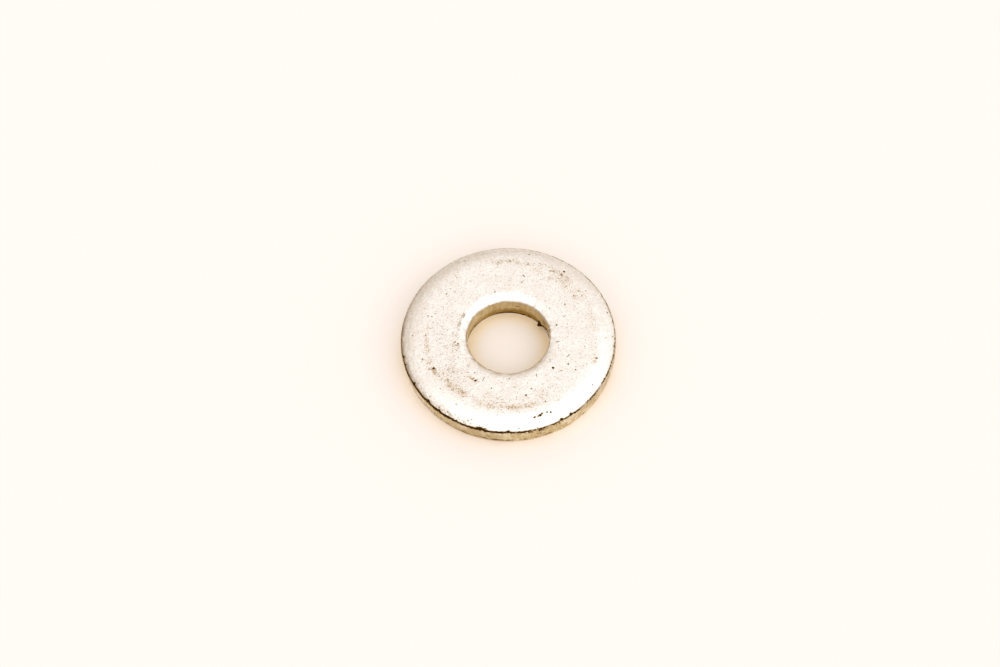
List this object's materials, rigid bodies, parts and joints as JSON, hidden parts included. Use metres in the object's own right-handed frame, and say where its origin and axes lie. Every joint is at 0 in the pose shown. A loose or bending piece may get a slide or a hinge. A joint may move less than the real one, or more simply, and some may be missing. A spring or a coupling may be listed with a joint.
{
  "type": "flat washer",
  "caption": "Thick flat washer: a plated steel ring punched from strip, with rolled edges on its upper face and a plain clearance bore.",
  "frame": {"origin": "centre of the bore at the underside", "axes": "+Z along the bore axis, from the underside to the rolled upper face; X and Y are free, because the washer is round"},
  "size_m": [0.017, 0.017, 0.0022],
  "materials": {
    "zinc_plated_steel": "dull zinc plate, tumbled, finely pitted and stained"
  },
  "bodies": {
    "root": {"washer": "zinc_plated_steel"}
  },
  "joints": []
}
